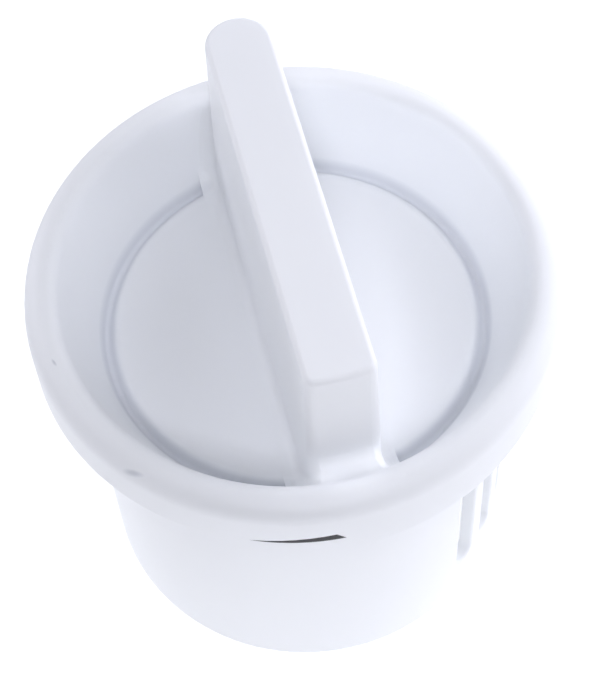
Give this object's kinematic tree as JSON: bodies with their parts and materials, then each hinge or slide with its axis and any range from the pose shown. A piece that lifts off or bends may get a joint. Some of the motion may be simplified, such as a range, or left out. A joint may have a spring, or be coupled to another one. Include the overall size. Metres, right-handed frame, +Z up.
{
  "type": "lint filter",
  "caption": "Washing-machine drain pump lint filter: slotted strainer tube under a dished round cap with a bar handle, locking ramps on its skirt and a rubber sealing ring.",
  "frame": {"origin": "centre of the open lower end of the strainer tube, on which the filter stands", "axes": "+Z up along the tube's axis towards the bar handle, +Y along the bar handle towards its round end, +X towards the row of slots"},
  "size_m": [0.075, 0.075, 0.081],
  "materials": {
    "white_plastic": "satin moulded polypropylene",
    "black_rubber": "matt"
  },
  "bodies": {
    "root": {"filter_body": "white_plastic", "sealing_ring": "black_rubber"}
  },
  "joints": []
}
